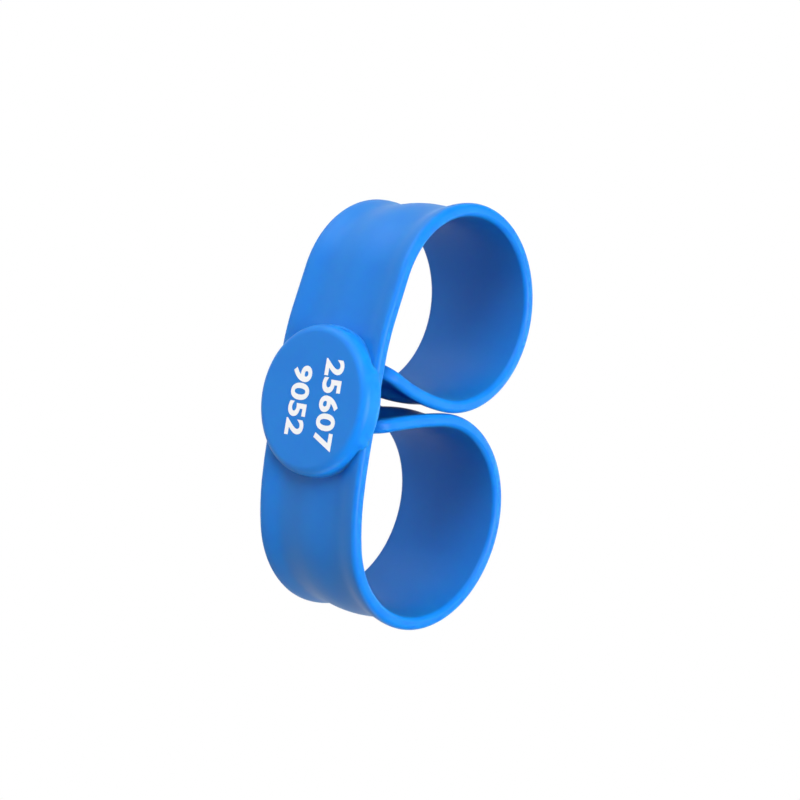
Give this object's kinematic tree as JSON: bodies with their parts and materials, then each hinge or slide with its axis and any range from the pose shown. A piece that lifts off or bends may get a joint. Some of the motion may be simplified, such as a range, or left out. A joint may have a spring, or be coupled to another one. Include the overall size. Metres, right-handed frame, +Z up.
{
  "type": "silicone slap bracelet",
  "caption": "Silicone slap bracelet: a flat band curled into two open loops, with a round flat-faced disc on its front.",
  "frame": {"origin": "bottom centre of the bracelet's box, on the surface that it lies on", "axes": "+X along the front of the band, +Y from the disc to the backs of the loops, +Z up, across the band's width"},
  "size_m": [0.0786, 0.0444, 0.027],
  "materials": {
    "band_silicone": "satin blue silicone",
    "disc_silicone": "satin blue silicone, a little smoother than the band",
    "print": "flat white print on the disc"
  },
  "bodies": {
    "root": {"band": "band_silicone", "disc": "disc_silicone"}
  },
  "joints": []
}
